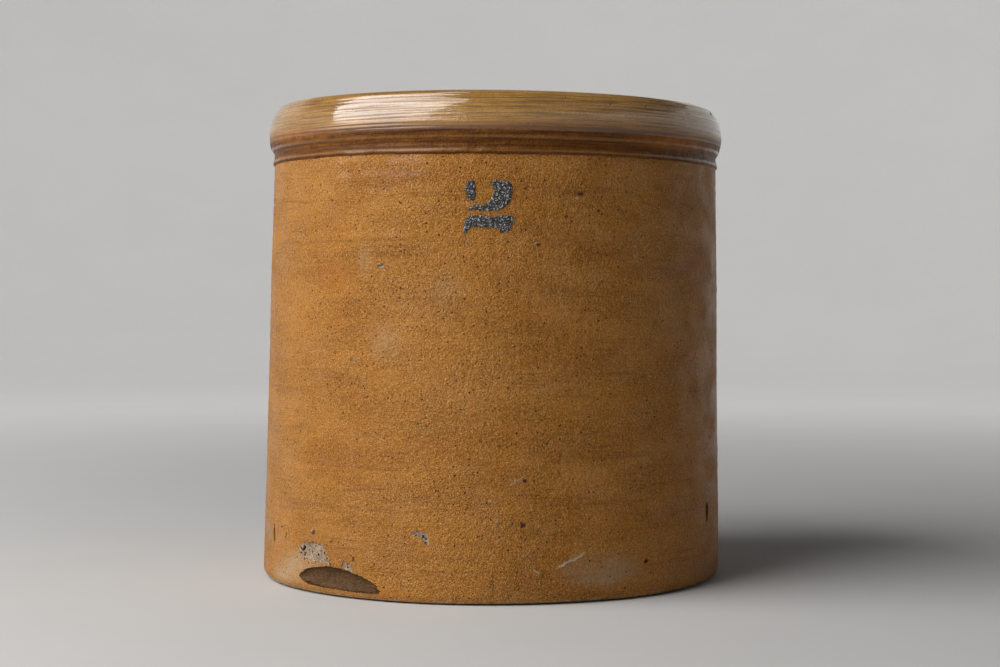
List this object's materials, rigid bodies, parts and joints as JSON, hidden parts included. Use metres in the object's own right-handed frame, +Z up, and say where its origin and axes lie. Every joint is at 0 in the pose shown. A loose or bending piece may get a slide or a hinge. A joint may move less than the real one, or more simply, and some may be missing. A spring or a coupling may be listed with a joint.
{
  "type": "stoneware crock",
  "caption": "Open straight-sided stoneware crock with a flat floor, a tapered wall and a turned rim band, honey glaze outside and dark slip inside, for storing and serving food.",
  "frame": {"origin": "centre of the foot, on the surface that the crock stands on", "axes": "+Z up along the axis of the turned vessel, -Y towards the front with the capacity numeral"},
  "size_m": [0.2358, 0.2358, 0.239],
  "materials": {
    "clay": "fired, unglazed and rough",
    "honey_glaze": "semi-gloss, speckled",
    "dark_slip": "glossy"
  },
  "bodies": {
    "root": {"floor_slab": "clay", "wall": "clay", "rim_band": "clay", "outside_glaze": "honey_glaze", "inside_glaze": "dark_slip"}
  },
  "joints": []
}
